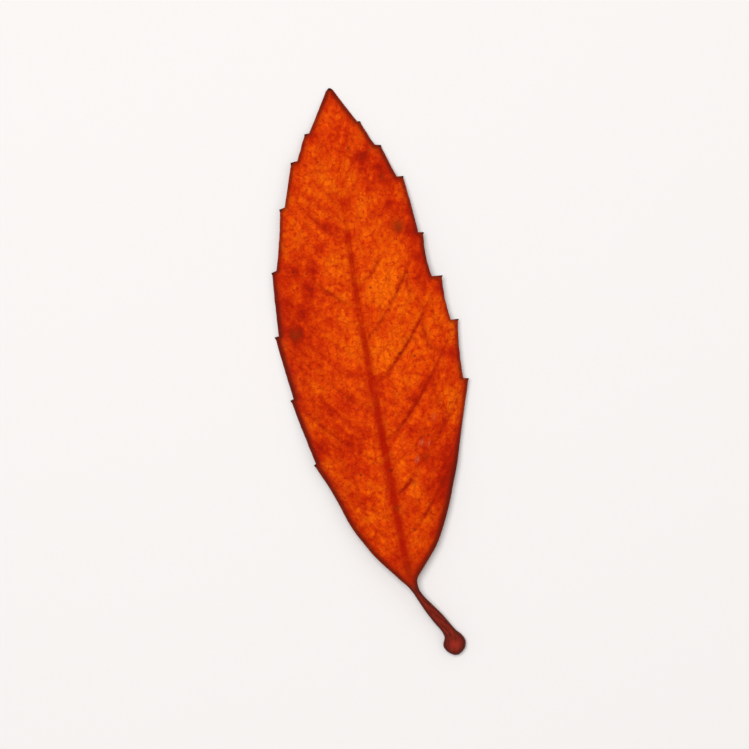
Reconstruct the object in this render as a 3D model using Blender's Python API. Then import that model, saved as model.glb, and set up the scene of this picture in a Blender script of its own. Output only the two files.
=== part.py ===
"""Autumn leaf: one dried leaf with a saw-toothed blade on a short stalk, lying face up.

The leaf grew as one piece, so it is one solid: the blade, the midrib and side veins that stand out
under it, and the stalk with its swollen foot. The design is in millimetres and in the leaf's own
layout: a station is a place along the straight line from the blade's base (0) to its tip, and a
reach is a distance sideways from that line, with the left half at -x. The mesh is made in metres.
"""

import math
from collections import namedtuple

import bmesh
import bpy
import numpy as np
from mathutils import Vector
from mathutils.geometry import delaunay_2d_cdt

MM = 0.001

# Driving dimensions of the blade
BLADE_LENGTH = 82.0
BLADE_THICKNESS = 0.6
MIDRIB_BOW = 1.35  # how far the midrib bends to the left of the straight line, at mid-length
TIP_HALF_WIDTH = 0.4
NECK_STATION = -1.2  # the blade runs on into the stalk, and ends in a narrow neck inside it

# One half of the blade.
# side: -1 left, +1 right
# low_margin: (station, reach) along the smooth margin, from the neck to below the teeth
# teeth: (station, reach, depth of the notch above the tooth, power with which the notch fills again)
# rim_height: (station, height) of the margin's middle over the surface that the leaf lies on
# veins: (station where a side vein leaves the midrib, station where it meets the margin)
Half = namedtuple("Half", "side low_margin teeth rim_height veins")

LEFT = Half(
    side=-1,
    low_margin=[
        (-1.2, 0.0), (0, 1.15), (1, 2.0), (2, 2.8), (4, 4.4), (6, 5.85),
        (8, 7.0), (10, 8.1), (12, 8.95), (15, 9.95), (18, 11.1),
    ],
    teeth=[
        (21.9, 12.9, 0.42, 1.0),
        (32.9, 14.9, 0.6, 1.0),
        (43.5, 15.7, 0.72, 1.0),
        (53.9, 14.4, 0.8, 2.2),
        (63.8, 11.4, 0.85, 1.2),
        (71.0, 8.3, 1.1, 1.0),
        (75.2, 5.3, 0.75, 1.1),
    ],
    rim_height=[
        (-1.2, 2.5), (8, 2.2), (18, 1.7), (30, 0.7), (43, 0.16),
        (55, 0.75), (66, 1.25), (74, 0.95), (82, 0.24),
    ],
    veins=[
        (4.2, 13), (10.5, 21.9), (20, 32.9), (29, 43.5), (37.5, 50.5),
        (45.8, 58), (51.5, 62.5), (56.6, 66.5), (62.5, 71.5), (68.5, 76.5),
    ],
)
RIGHT = Half(
    side=1,
    low_margin=[
        (-1.2, 0.4), (0, 0.4), (0.9, 0.55), (1.5, 0.95), (2.5, 1.8), (4, 3.1), (6, 4.7),
        (8, 5.85), (10, 6.85), (12, 7.75), (15, 8.9), (18, 10.05), (22, 11.3), (25, 12.25), (28, 13.25),
    ],
    teeth=[
        (31.6, 14.4, 0.9, 2.4),
        (41.4, 14.4, 1.25, 2.0),
        (48.8, 13.0, 1.7, 1.8),
        (56.2, 11.2, 0.9, 0.9),
        (65.8, 9.5, 1.05, 1.2),
        (71.4, 6.75, 0.85, 1.5),
        (75.8, 4.1, 0.45, 1.5),
    ],
    rim_height=[
        (-1.2, 2.5), (8, 2.3), (18, 1.9), (28, 1.3), (38, 1.15),
        (48, 1.75), (58, 1.7), (68, 1.0), (76, 0.6), (82, 0.24),
    ],
    veins=[
        (3.2, 11.5), (7.5, 19.5), (14.8, 31.6), (23.7, 41.4), (33, 48.8),
        (40.5, 56.2), (48.8, 62.5), (56, 67), (62.5, 73), (68.5, 77),
    ],
)

# Height of the midrib over the surface, from the stalk's foot to the tip
MIDRIB_HEIGHT = [
    (-12.4, 0.85), (-9, 1.05), (-5, 1.7), (0, 2.6), (12, 3.6),
    (30, 4.3), (45, 4.2), (60, 3.2), (72, 1.6), (82, 0.24),
]
FALL_POWER = 2.1  # each half leaves the midrib level and falls ever more steeply to its margin
SWELL = 0.55  # how far each half bulges up between midrib and margin

# The midrib is a shallow channel above and a round rib below
MIDRIB_HALF_WIDTH = [(-1.2, 0.5), (3, 0.75), (15, 0.8), (45, 0.6), (70, 0.4), (82, 0.25)]
MIDRIB_DEPTH = [(-1.2, 0.2), (2, 0.5), (5, 0.85), (15, 0.9), (45, 0.6), (70, 0.3), (82, 0.05)]
MIDRIB_GROOVE = 0.18

# A side vein is a crease above and a rib below, in a wide soft valley of the blade
VEIN_HALF_WIDTH = 0.42
VEIN_CREASE = 0.12
VEIN_DEPTH = 0.32
VALLEY_HALF_WIDTH = 1.9
VALLEY_DEPTH = 0.2
VEIN_FORWARD = 1.35  # above 1, a side vein bends towards the tip as it nears the margin
VEIN_END = 1.6  # a side vein stops this far inside the margin
VEIN_THINNING = 0.5  # share of a side vein's relief that is lost by its end

# Stalk: (station, reach) along its middle, carried on a way up the midrib, which it shifts there,
# and (station, half-width, half-height) of its sections
STALK_LINE = [
    (22, 0), (15, -0.22), (10, -0.4), (5, -0.52), (2.5, -0.5), (0.5, -0.33), (-0.5, -0.1),
    (-1.5, 0.28), (-2.5, 0.78), (-4, 1.63), (-6, 2.85), (-8, 4.0), (-9.2, 4.5), (-10.5, 4.75),
    (-12.4, 4.88),
]
STALK_SECTIONS = [
    (4, 0.45, 0.4),
    (2, 0.55, 0.5),
    (0, 0.6, 0.58),
    (-2, 0.58, 0.62),
    (-4, 0.8, 0.7),
    (-6, 0.95, 0.78),
    (-8, 0.97, 0.85),
    (-8.8, 1.12, 0.92),
    (-9.6, 1.6, 1.08),
    (-10.5, 1.86, 1.15),
    (-11.3, 1.6, 1.12),
    (-12, 0.98, 0.85),
    (-12.4, 0.35, 0.4),
]
STALK_SINK = 0.5  # how far the stalk's buried end lies under the blade's middle
STALK_SINK_LENGTH = 4
STALK_CHANNEL = 0.3  # groove along the stalk's upper side, as a share of its half-height
STALK_SIDES = 16
STALK_STEP = 0.7
FOOT_CROWDING = 0.8  # below 1, the sections lie closer together towards the foot's round end

# Spacing of the mesh
MARGIN_STEP = 1.2
RIB_STEP = 1.25
FIELD_STEP = 1.4
TOOTH_RISE = 0.3  # each notch lies this far up the margin from its tooth's point
RIB_SHARES = (-1, -0.55, 0, 0.55, 1)  # places across the midrib, as shares of its half-width
RIB_GAP = 0.2  # least distance between points on the ribs
FIELD_GAP = 0.87  # least distance between a point of the field and any other
MERGE_DISTANCE = 1e-7

LEAF_COLOUR = (0.62, 0.07, 0.008, 1.0)
LEAF_ROUGHNESS = 0.55


def through(points, at):
    """The value at one or many places on the smooth curve through (place, value) points."""
    x, y = np.array(sorted(points), float).T
    slope = np.gradient(y, x)
    at = np.clip(at, x[0], x[-1])
    i = np.clip(np.searchsorted(x, at, side="right") - 1, 0, len(x) - 2)
    span = x[i + 1] - x[i]
    f = (at - x[i]) / span
    straight = y[i] + (y[i + 1] - y[i]) * f * f * (3 - 2 * f)
    return straight + span * f * (1 - f) * (slope[i] * (1 - f) - slope[i + 1] * f)


def midrib_reach(station):
    """Reach of the midrib, and of the stalk's middle, which carries it on."""
    bow = -MIDRIB_BOW * np.sin(math.pi * np.clip(station / BLADE_LENGTH, 0, 1))
    return bow + through(STALK_LINE, station)


def envelope(half, station):
    """Reach of the margin where no notch cuts it: the curve over the points of the teeth."""
    points = [(place, reach) for place, reach, _, _ in half.teeth]
    return through([*half.low_margin, *points, (BLADE_LENGTH, TIP_HALF_WIDTH)], station)


def margin_line(half):
    """(reach, station) points up one margin, neck to tip, with a point and a notch for each tooth."""
    first = half.teeth[0][0]
    count = round((first - NECK_STATION) / MARGIN_STEP)
    smooth = np.linspace(NECK_STATION, first, count + 1)
    line = [(half.side * float(envelope(half, station)), float(station)) for station in smooth]
    stops = [*half.teeth, (BLADE_LENGTH, TIP_HALF_WIDTH, 0.0, 1.0)]
    for (low, low_reach, notch, power), (high, high_reach, _, _) in zip(stops, stops[1:]):
        start = low + TOOTH_RISE
        count = max(2, round((high - start) / MARGIN_STEP))
        for station in np.linspace(start, high, count + 1):
            share = (station - low) / (high - low)
            reach = low_reach + (high_reach - low_reach) * share - notch * (1 - share**power)
            line.append((half.side * float(reach), float(station)))
    return line


def side_vein(half, root, end):
    """(reach, station) points along a side vein, from the midrib to just inside the margin."""
    start_x = float(midrib_reach(root))
    end_x = half.side * (float(envelope(half, end)) - VEIN_END)
    length = math.hypot(end_x - start_x, end - root)
    share = np.linspace(0, 1, max(3, round(length / RIB_STEP) + 1))
    x = start_x + (end_x - start_x) * share
    y = root + (end - VEIN_END - root) * share**VEIN_FORWARD
    return np.stack([x, y], axis=1)


def distance_to(line, points):
    """Distance from each point to a line of points, and how far along the line it is nearest, 0 to 1."""
    best = np.full(len(points), np.inf)
    along = np.zeros(len(points))
    for i, (a, b) in enumerate(zip(line, line[1:])):
        share = np.clip((points - a) @ (b - a) / ((b - a) @ (b - a)), 0, 1)
        gap = np.linalg.norm(points - a - share[:, None] * (b - a), axis=1)
        nearer = gap < best
        best = np.where(nearer, gap, best)
        along = np.where(nearer, (i + share) / (len(line) - 1), along)
    return best, along


def vein_relief(points, veins):
    """At each point, how far a side vein's rib and the soft valley round it have grown, 0 to 1."""
    rib = np.zeros(len(points))
    valley = np.zeros(len(points))
    for line in veins:
        gap, along = distance_to(line, points)
        rib = np.maximum(rib, (1 - gap / VEIN_HALF_WIDTH) * (1 - VEIN_THINNING * along))
        valley = np.maximum(valley, np.exp(-((gap / VALLEY_HALF_WIDTH) ** 2)) * (1 - along))
    return rib, valley


def middle_height(points):
    """Height of the arched blade's middle over the surface, at (reach, station) points."""
    x, y = points.T
    rib = midrib_reach(y)
    crown = through(MIDRIB_HEIGHT, y)
    height = np.zeros(len(points))
    for half in (LEFT, RIGHT):
        width = envelope(half, y) - half.side * rib
        share = np.clip(half.side * (x - rib) / width, 0, 1)
        fall = (crown - through(half.rim_height, y)) * share**FALL_POWER
        swell = SWELL * np.sin(math.pi * share) * np.sin(math.pi * np.clip(y / BLADE_LENGTH, 0, 1))
        height = np.where(half.side * (x - rib) >= 0, crown - fall + swell, height)
    return height


def blade_heights(points, veins):
    """Heights of the blade's upper and under faces at (reach, station) points."""
    x, y = points.T
    share = np.clip(np.abs(x - midrib_reach(y)) / through(MIDRIB_HALF_WIDTH, y), 0, 1)
    rib, valley = vein_relief(points, veins)
    middle = middle_height(points) - VALLEY_DEPTH * valley
    crease = np.maximum(MIDRIB_GROOVE * (1 - share) ** 2, VEIN_CREASE * rib)
    midrib = through(MIDRIB_DEPTH, y) * np.sqrt(1 - share**2)
    over = middle + BLADE_THICKNESS / 2 - crease
    under = middle - BLADE_THICKNESS / 2 - np.maximum(midrib, VEIN_DEPTH * rib)
    # The lowest places of the under face are pressed flat where the leaf lies on them
    return over, np.maximum(under, 0.0)


def rib_points(veins):
    """Points across the midrib, and along the middle and both edges of each side vein."""
    found = []
    for station in np.arange(RIB_STEP / 2, BLADE_LENGTH - RIB_STEP, RIB_STEP):
        width = float(through(MIDRIB_HALF_WIDTH, station))
        found.extend((float(midrib_reach(station)) + share * width, station) for share in RIB_SHARES)
    for line in veins:
        ahead = np.gradient(line, axis=0)
        beside = np.stack([-ahead[:, 1], ahead[:, 0]], axis=1)
        beside *= VEIN_HALF_WIDTH / np.linalg.norm(beside, axis=1)[:, None]
        for edge in (0, 1, -1):
            found.extend(line[1:] + edge * beside[1:])
    return np.array(found)


def field_points():
    """Points in staggered rows all over the blade's box."""
    rows = np.arange(1.0, BLADE_LENGTH, FIELD_STEP * math.sqrt(3) / 2)
    widest = max(reach for half in (LEFT, RIGHT) for _, reach, _, _ in half.teeth) + FIELD_STEP
    found = []
    for number, station in enumerate(rows):
        shift = (number % 2) * FIELD_STEP / 2
        found.extend((reach, station) for reach in np.arange(shift - widest, widest, FIELD_STEP))
    return np.array(found)


def inside(points, ring):
    """Whether each point lies inside the closed ring of points."""
    x, y = points.T
    crossings = np.zeros(len(points), int)
    for (ax, ay), (bx, by) in zip(ring, np.roll(ring, -1, axis=0)):
        if ay != by:
            crossings += ((ay > y) != (by > y)) & (x < ax + (bx - ax) * (y - ay) / (by - ay))
    return crossings % 2 == 1


def add_spaced(points, kept, gap):
    """Adds to the kept points, in order, each point that lies at least the gap from all of them."""
    for point in points:
        if np.linalg.norm(np.array(kept) - point, axis=1).min() >= gap:
            kept.append(tuple(point))


def blade_layout(veins):
    """(points, triangles, rim) of the blade seen from above; the rim lists the outline's points."""
    ring = margin_line(RIGHT) + margin_line(LEFT)[::-1]
    layout = list(ring)
    ribs, field = rib_points(veins), field_points()
    add_spaced(ribs[inside(ribs, ring)], layout, RIB_GAP)
    add_spaced(field[inside(field, ring)], layout, FIELD_GAP)
    rim = list(range(len(ring)))
    found = delaunay_2d_cdt([Vector(point) for point in layout], [], [rim], 1, MERGE_DISTANCE)
    return np.array([tuple(point) for point in found[0]]), [tuple(face) for face in found[2]], rim


def mesh_object(name, points, faces):
    mesh = bpy.data.meshes.new(name)
    mesh.from_pydata([tuple(point) for point in np.asarray(points) * MM], [], faces)
    obj = bpy.data.objects.new(name, mesh)
    bpy.context.scene.collection.objects.link(obj)
    return obj


def make_blade():
    """The blade with its ribs: two faces split into the same triangles, joined round the rim."""
    veins = [side_vein(half, root, end) for half in (LEFT, RIGHT) for root, end in half.veins]
    layout, triangles, rim = blade_layout(veins)
    over, under = blade_heights(layout, veins)
    count = len(layout)
    points = [*np.column_stack([layout, over]), *np.column_stack([layout, under])]
    faces = triangles + [(c + count, b + count, a + count) for a, b, c in triangles]
    for a, b in zip(rim, rim[1:] + rim[:1]):
        faces += [(a, a + count, b), (b, a + count, b + count)]
    return mesh_object("leaf", points, faces)


def stalk_middle(station):
    """Middle of the stalk at a station; inside the blade it sinks under the blade's middle."""
    sink = STALK_SINK * np.clip((station - NECK_STATION) / STALK_SINK_LENGTH, 0, 1)
    return Vector((midrib_reach(station), station, through(MIDRIB_HEIGHT, station) - sink))


def stalk_ring(station):
    """One oval section of the stalk, with a groove on top."""
    middle = stalk_middle(station)
    ahead = stalk_middle(station - 0.1) - stalk_middle(station + 0.1)
    across = ahead.cross(Vector((0, 0, 1))).normalized()
    width = float(through([(place, wide) for place, wide, _ in STALK_SECTIONS], station))
    height = float(through([(place, tall) for place, _, tall in STALK_SECTIONS], station))
    ring = []
    for k in range(STALK_SIDES):
        angle = 2 * math.pi * k / STALK_SIDES
        rise = height * math.sin(angle) * (1 - STALK_CHANNEL * max(0.0, math.sin(angle)) ** 6)
        ring.append(middle + across * (width * math.cos(angle)) + Vector((0, 0, rise)))
    return ring


def make_stalk():
    """The stalk, from its end buried in the midrib to the round foot, which has a flat underside."""
    top, bottom = STALK_SECTIONS[0][0], STALK_SECTIONS[-1][0]
    count = round((top - bottom) / STALK_STEP)
    places = top + (bottom - top) * np.linspace(0, 1, count + 1) ** FOOT_CROWDING
    points = [point for place in places for point in stalk_ring(place)]
    first = tuple(range(STALK_SIDES))
    faces = [first, tuple(len(points) - 1 - k for k in first)]
    for row in range(count):
        for k in range(STALK_SIDES):
            a = row * STALK_SIDES + k
            b = row * STALK_SIDES + (k + 1) % STALK_SIDES
            faces.append((a, a + STALK_SIDES, b + STALK_SIDES, b))
    stalk = mesh_object("stalk", points, faces)
    shape = bmesh.new()
    shape.from_mesh(stalk.data)
    everything = [*shape.verts, *shape.edges, *shape.faces]
    down = (0, 0, -1)
    cut = bmesh.ops.bisect_plane(shape, geom=everything, plane_co=(0, 0, 0), plane_no=down, clear_outer=True)
    edges = [item for item in cut["geom_cut"] if isinstance(item, bmesh.types.BMEdge)]
    bmesh.ops.contextual_create(shape, geom=edges)
    shape.to_mesh(stalk.data)
    shape.free()
    return stalk


def face_outwards(obj):
    shape = bmesh.new()
    shape.from_mesh(obj.data)
    bmesh.ops.recalc_face_normals(shape, faces=shape.faces)
    shape.to_mesh(obj.data)
    shape.free()


def join(leaf, stalk):
    """Makes the blade and the stalk one body."""
    union = leaf.modifiers.new("stalk", "BOOLEAN")
    union.operation = "UNION"
    union.solver = "EXACT"
    union.object = stalk
    graph = bpy.context.evaluated_depsgraph_get()
    mesh = bpy.data.meshes.new_from_object(leaf.evaluated_get(graph))
    leaf.modifiers.clear()
    leaf.data = mesh
    bpy.data.objects.remove(stalk)


def place_origin(obj):
    """Puts the origin under the middle of the leaf, on the surface that it lies on."""
    spots = np.array([vertex.co for vertex in obj.data.vertices])
    low, high = spots.min(axis=0), spots.max(axis=0)
    for vertex in obj.data.vertices:
        vertex.co -= Vector(((low[0] + high[0]) / 2, (low[1] + high[1]) / 2, low[2]))


def leaf_material():
    material = bpy.data.materials.new("dried_leaf")
    material.use_nodes = True
    shader = material.node_tree.nodes["Principled BSDF"]
    shader.inputs["Base Color"].default_value = LEAF_COLOUR
    shader.inputs["Roughness"].default_value = LEAF_ROUGHNESS
    shader.inputs["Metallic"].default_value = 0.0
    return material


def main():
    for obj in list(bpy.data.objects):
        bpy.data.objects.remove(obj)
    leaf = make_blade()
    stalk = make_stalk()
    face_outwards(leaf)
    face_outwards(stalk)
    join(leaf, stalk)
    place_origin(leaf)
    leaf.data.materials.clear()
    leaf.data.materials.append(leaf_material())


main()
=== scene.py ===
"""Autumn leaf, dressed: the blade, its veins and the stalk as one fine mesh, with its dry, mottled skin.

The leaf's layout is in millimetres, as in the solid that it stands for: a station is a place along the
straight line from the blade's base (0) to its tip, and a reach is a distance sideways from that line,
with the left half at -x. The fine mesh has rows that run out along the side veins, from the midrib to
the margins, and carries values that its material reads, such as how near the margin a point lies.
"""

import math
import random
from collections import namedtuple

import bpy
import numpy as np
from mathutils import Euler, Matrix, Vector, kdtree, noise


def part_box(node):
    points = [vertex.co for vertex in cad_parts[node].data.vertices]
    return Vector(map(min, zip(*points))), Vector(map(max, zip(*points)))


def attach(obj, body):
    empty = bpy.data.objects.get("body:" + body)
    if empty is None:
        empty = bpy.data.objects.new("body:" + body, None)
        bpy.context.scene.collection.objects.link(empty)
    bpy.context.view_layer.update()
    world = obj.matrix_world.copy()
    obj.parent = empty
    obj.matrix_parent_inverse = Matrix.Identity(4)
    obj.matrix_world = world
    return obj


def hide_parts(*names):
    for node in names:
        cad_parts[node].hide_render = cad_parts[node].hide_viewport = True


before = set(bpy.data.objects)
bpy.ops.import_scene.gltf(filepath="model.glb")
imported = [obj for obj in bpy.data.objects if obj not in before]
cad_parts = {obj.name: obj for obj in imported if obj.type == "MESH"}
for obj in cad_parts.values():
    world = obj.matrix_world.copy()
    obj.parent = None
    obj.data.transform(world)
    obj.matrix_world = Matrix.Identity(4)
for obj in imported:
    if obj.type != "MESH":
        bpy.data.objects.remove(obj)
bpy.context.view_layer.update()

MM = 0.001

# Blade, as in the solid
BLADE_LENGTH = 82.0
MIDRIB_BOW = 1.35
NECK_STATION = -1.2
TIP_HALF_WIDTH = 0.4
TIP_ROUND = 0.5  # the tip is rounded over this length

# One half of the blade.
# side: -1 left, +1 right
# low_margin: (station, reach) along the smooth margin, from the neck to below the teeth
# teeth: (station, reach, depth of the notch above the tooth, power with which the notch fills again)
# rim_height: (station, height) of the margin's middle over the floor
# veins: (station where a side vein leaves the midrib, station where it meets the margin)
Half = namedtuple("Half", "side low_margin teeth rim_height veins")

LEFT = Half(
    side=-1,
    low_margin=[
        (-1.44, 0.38), (0, 1.2), (1, 2.03), (2, 2.8), (4, 4.4), (6, 5.85),
        (8, 7.0), (10, 8.1), (12, 8.95), (15, 9.95), (18, 11.1),
    ],
    teeth=[
        (21.9, 12.9, 0.42, 1.0),
        (32.9, 14.9, 0.6, 1.0),
        (43.5, 15.7, 0.72, 1.0),
        (53.9, 14.4, 0.8, 2.2),
        (63.8, 11.4, 0.85, 1.2),
        (71.0, 8.3, 1.1, 1.0),
        (75.2, 5.3, 0.75, 1.1),
    ],
    rim_height=[
        (-1.2, 2.5), (8, 2.2), (18, 1.7), (30, 0.7), (43, 0.16),
        (55, 0.75), (66, 1.25), (74, 0.95), (82, 0.24),
    ],
    veins=[
        (4.2, 13), (10.5, 21.9), (20, 32.9), (29, 43.5), (37.5, 50.5),
        (45.8, 58), (51.5, 62.5), (56.6, 66.5), (62.5, 71.5), (68.5, 76.5),
    ],
)
RIGHT = Half(
    side=1,
    low_margin=[
        (-0.96, 0.69), (-0.3, 0.55), (0.3, 0.5), (0.9, 0.58), (1.5, 0.95), (2.5, 1.8), (4, 3.1), (6, 4.7),
        (8, 5.85), (10, 6.85), (12, 7.75), (15, 8.9), (18, 10.05), (22, 11.3), (25, 12.25), (28, 13.25),
    ],
    teeth=[
        (31.6, 14.4, 0.9, 2.4),
        (41.4, 14.4, 1.25, 2.0),
        (48.8, 13.0, 1.7, 1.8),
        (56.2, 11.2, 0.9, 0.9),
        (65.8, 9.5, 1.05, 1.2),
        (71.4, 6.75, 0.85, 1.5),
        (75.8, 4.1, 0.45, 1.5),
    ],
    rim_height=[
        (-1.2, 2.5), (8, 2.3), (18, 1.9), (28, 1.3), (38, 1.15),
        (48, 1.75), (58, 1.7), (68, 1.0), (76, 0.6), (82, 0.24),
    ],
    veins=[
        (3.2, 11.5), (7.5, 19.5), (14.8, 31.6), (23.7, 41.4), (33, 48.8),
        (40.5, 56.2), (48.8, 62.5), (56, 67), (62.5, 73), (68.5, 77),
    ],
)
HALVES = (LEFT, RIGHT)

MIDRIB_HEIGHT = [
    (-12.4, 0.85), (-9, 1.05), (-5, 1.7), (0, 2.6), (12, 3.6),
    (30, 4.3), (45, 4.2), (60, 3.2), (72, 1.6), (82, 0.24),
]
FALL_POWER = 2.1  # how late the blade falls away from the midrib towards the margin
SWELL = 0.55  # between midrib and margin, each half arches up this far
MIDRIB_HALF_WIDTH = [(-1.2, 0.5), (3, 0.75), (15, 0.8), (45, 0.6), (70, 0.35), (82, 0.15)]
MIDRIB_DEPTH = [(-1.2, 0.2), (2, 0.5), (5, 0.85), (15, 0.9), (45, 0.6), (70, 0.25), (82, 0.03)]
VEIN_FORWARD = 1.35  # power with which a side vein bends forward on its way out

MIDRIB_LINE_POWER = 2.4  # above 2, the midrib's dark line has crisper sides than a soft blur
# That line: (station, half-width, strength)
MIDRIB_LINE = [
    (-1.2, 0.5, 0.9), (3, 0.78, 1.0), (15, 0.86, 1.0), (30, 0.87, 1.0), (35, 0.8, 0.9), (40, 0.73, 1.0),
    (45, 0.7, 0.65), (50, 0.68, 1.0), (52, 0.62, 0.75), (54, 0.7, 0.95), (55.7, 0.62, 0.6),
    (57.3, 0.8, 0.85), (59.2, 0.72, 0.38), (62, 0.75, 0.5), (66, 0.65, 0.2), (74, 0.55, 0.15),
    (82, 0.5, 0.0),
]
# Darkness of the margin's line: (station, strength)
LEFT_RIM = [
    (-1.2, 0.9), (14, 0.95), (26, 1.05), (38, 1.1), (50, 0.9), (56, 0.5), (68, 0.5), (76, 0.65), (82, 1.0),
]
RIGHT_RIM = [
    (-1.2, 0.95), (8, 1.15), (20, 1.0), (26, 0.35), (32, 0.6), (38, 0.45), (44, 0.2), (50, 0.65),
    (56, 0.7), (62, 0.5), (68, 0.85), (76, 0.8), (82, 1.0),
]

# Stalk, as in the solid; its line is carried on a way up the midrib, which it shifts there
STALK_LINE = [
    (22, 0), (15, -0.22), (10, -0.4), (5, -0.52), (2.5, -0.5), (0.5, -0.33), (-0.5, -0.1),
    (-1.5, 0.28), (-2.5, 0.78), (-4, 1.63), (-6, 2.85), (-8, 4.0), (-9.2, 4.5), (-10.5, 4.75),
    (-12.4, 4.88),
]
# (station, half-width, half-height)
STALK_SECTIONS = [
    (4, 0.45, 0.4),
    (2, 0.55, 0.5),
    (0, 0.6, 0.58),
    (-2, 0.58, 0.62),
    (-4, 0.8, 0.7),
    (-6, 0.95, 0.78),
    (-8, 0.97, 0.85),
    (-8.8, 1.12, 0.92),
    (-9.6, 1.6, 1.08),
    (-10.5, 1.86, 1.15),
    (-11.3, 1.62, 1.12),
    (-12, 1.3, 1.1),
    (-12.4, 1.1, 1.05),
]
FOOT_ROUND = 1.2  # the stalk's foot is rounded over this length

# Fine form that only this mesh has
SHEET_THICKNESS = 0.32
LEAST_THICKNESS = 0.05
RIM_BULGE = 0.06  # the margin is rounded, and stands out this far beyond the two faces
STALK_BULGE = 0.012
RIM_CURL = 0.16  # the outermost strip turns down a little
RIM_CURL_WIDTH = 0.9
SPUR_LENGTH = 0.15  # each tooth ends in a small hard point
SPUR_WIDTH = 0.3
SPUR_POWER = 4  # how late the margin draws back below a tooth's point
LOWEST_TOOTH_START = 8.0
WAVE = 0.07  # small swings of the margin between two teeth
WAVE_RATE = 0.9
WAVE_SEED = 7.0
MIDRIB_GROOVE = 0.2
GROOVE_HALF_WIDTH = 0.55  # as a share of the midrib's
GROOVE_FADE = (80, 62)  # stations between which the groove fades out towards the tip
MIDRIB_SIDE = (0.7, 1.3)  # the creases fade in between these shares of the midrib's half-width
MIDRIB_FAR = 1.5  # places farther out count as this share of it
VEIN_HALF_WIDTH = 0.4
VEIN_LINE_HALF_WIDTH = 0.38
THIN_RIB = 0.45  # the thinnest veins keep this share of the width
THIN_LINE = 0.5
THIN_STRENGTH = 0.35
VEIN_TAPER = 0.45  # share of its half-width that a side vein keeps at its end
VEIN_STOP = 1.0  # a side vein ends this far short of the margin
VEIN_CREASE = 0.13
VEIN_DEPTH = 0.3
VEIN_POINTS = 40
# Loops that join two side veins near the margin: (number of the point on the lower vein, number on
# the upper vein, bow, half-width at the start and at the end as a share of a side vein's)
VEIN_LOOPS = [(31, 33, 0.22, 0.5, 0.35), (36, 38, 0.2, 0.32, 0.2)]
FAINT_VEIN = 0.3  # strength of a side vein's line where no mark makes it clearer
CLEAREST_VEIN = 1.3
NET_HALF_WIDTH = 0.24
NET_CREASE = 0.045
NET_DEPTH = 0.07
FINE_POINTS = 60
WANDER = 0.35  # sideways swing of a fine vein
WANDER_ANGLE = 14
LADDER = (0.05, 0.93)  # the cross veins lie between these shares of the way out
BOW_RANGE = (-0.15, 0.15)
VALLEY_HALF_WIDTH = 1.9
VALLEY_DEPTH = 0.2
CRINKLE = 0.12  # height of the uneven swells of the dry blade
CRINKLE_SIZE = 6.5
PUCKER = 0.035
PUCKER_SIZE = 1.9
NOISE_GAIN = 1.6
QUIET_RIM = 3.0  # valleys and swells fade towards the margin over this distance
QUIET_CRINKLE = 0.35  # share of the swells that is left there
CREASE_FADE = 1.2  # the creases over the veins fade towards the margin over this distance
SIDE_AS_UNDER = 0.4  # how far the rounded margin's colour is the underside's
TIP_MARK = 0.5  # radius of the dark mark on a tooth's point
FOOT_MIDDLE = (4.78, -10.6)
FOOT_DISH = 0.85
CHANNEL_DEPTH = [(-12.4, 0.0), (-11.6, 0.12), (-10.6, 0.42), (-9.4, 0.34), (-7, 0.34), (4, 0.34)]
CHANNEL_HALF_WIDTH = [(-12.4, 0.7), (-10.6, 0.85), (-9.4, 0.8), (-7, 0.75), (4, 0.7)]
CHANNEL_POWER = 1.7
STALK_SIDE = 0.02  # share of the stalk's height that is left at its side
BLEND_END = 3.2  # the stalk's round section has turned into the blade's by this station

# Spacing of the mesh
ROW_STEP = 0.27
STALK_ROW_STEP = 0.22
FOOT_CROWDING = 1.3  # above 1, the rows lie closer together towards the stalk's foot
TIP_ROWS = (0.9, 0.6, 0.35, 0.18, 0.08)  # extra rows, as shares of the tip's rounded length
TIP_GAP = 0.02  # the last row stops this far short of the tip
BELOW_TOOTH = 0.15  # a row runs this far below each tooth's point
ABOVE_TOOTH = 0.2  # and one this far above it, in the notch
LEAST_ROW_GAP = 0.07
TRACK_POINTS = 8000
RIB_SHARES = (0.0, 0.22, 0.45, 0.68, 0.88, 1.0, 1.25)
OUTER_COLUMNS = 44
COLUMNS = len(RIB_SHARES) + OUTER_COLUMNS
COLUMN_CROWDING = 0.09  # above 0, the columns lie closer together towards the margin
WIDEST_RIB = 0.45  # the columns on the midrib take up at most this share of a half
NOTCH_SPREAD = 2.4  # a notch pushes the columns together this far in from the margin
WIDEST_SPREAD = 0.7
SPREAD_POWER = 1.6
LEAST_STALK = 0.02
LEAST_HALF = 0.12
LEAST_REACH = 0.05


def through(points, at):
    """The value at one or many places on the smooth curve through (place, value) points."""
    x, y = np.array(sorted(points), float).T
    slope = np.gradient(y, x)
    at = np.clip(at, x[0], x[-1])
    i = np.clip(np.searchsorted(x, at, side="right") - 1, 0, len(x) - 2)
    span = x[i + 1] - x[i]
    f = (at - x[i]) / span
    straight = y[i] + (y[i + 1] - y[i]) * f * f * (3 - 2 * f)
    return straight + span * f * (1 - f) * (slope[i] * (1 - f) - slope[i + 1] * f)


def smoothstep(low, high, value):
    """0 at low, 1 at high, with a smooth rise between them. Low may be the larger."""
    f = np.clip((value - low) / (high - low), 0, 1)
    return f * f * (3 - 2 * f)


def fading(distance, width):
    """1 at no distance, falling smoothly to 0 well beyond the width."""
    return np.exp(-((distance / width) ** 2))


def above(least, share):
    """The share, squeezed into the range from the least value to 1."""
    return least + (1 - least) * share


def blob(x, y, middle, radius):
    """1 at the middle, falling smoothly to 0 well beyond the radius."""
    return np.exp(-(((x - middle[0]) ** 2 + (y - middle[1]) ** 2) / radius**2))


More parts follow.
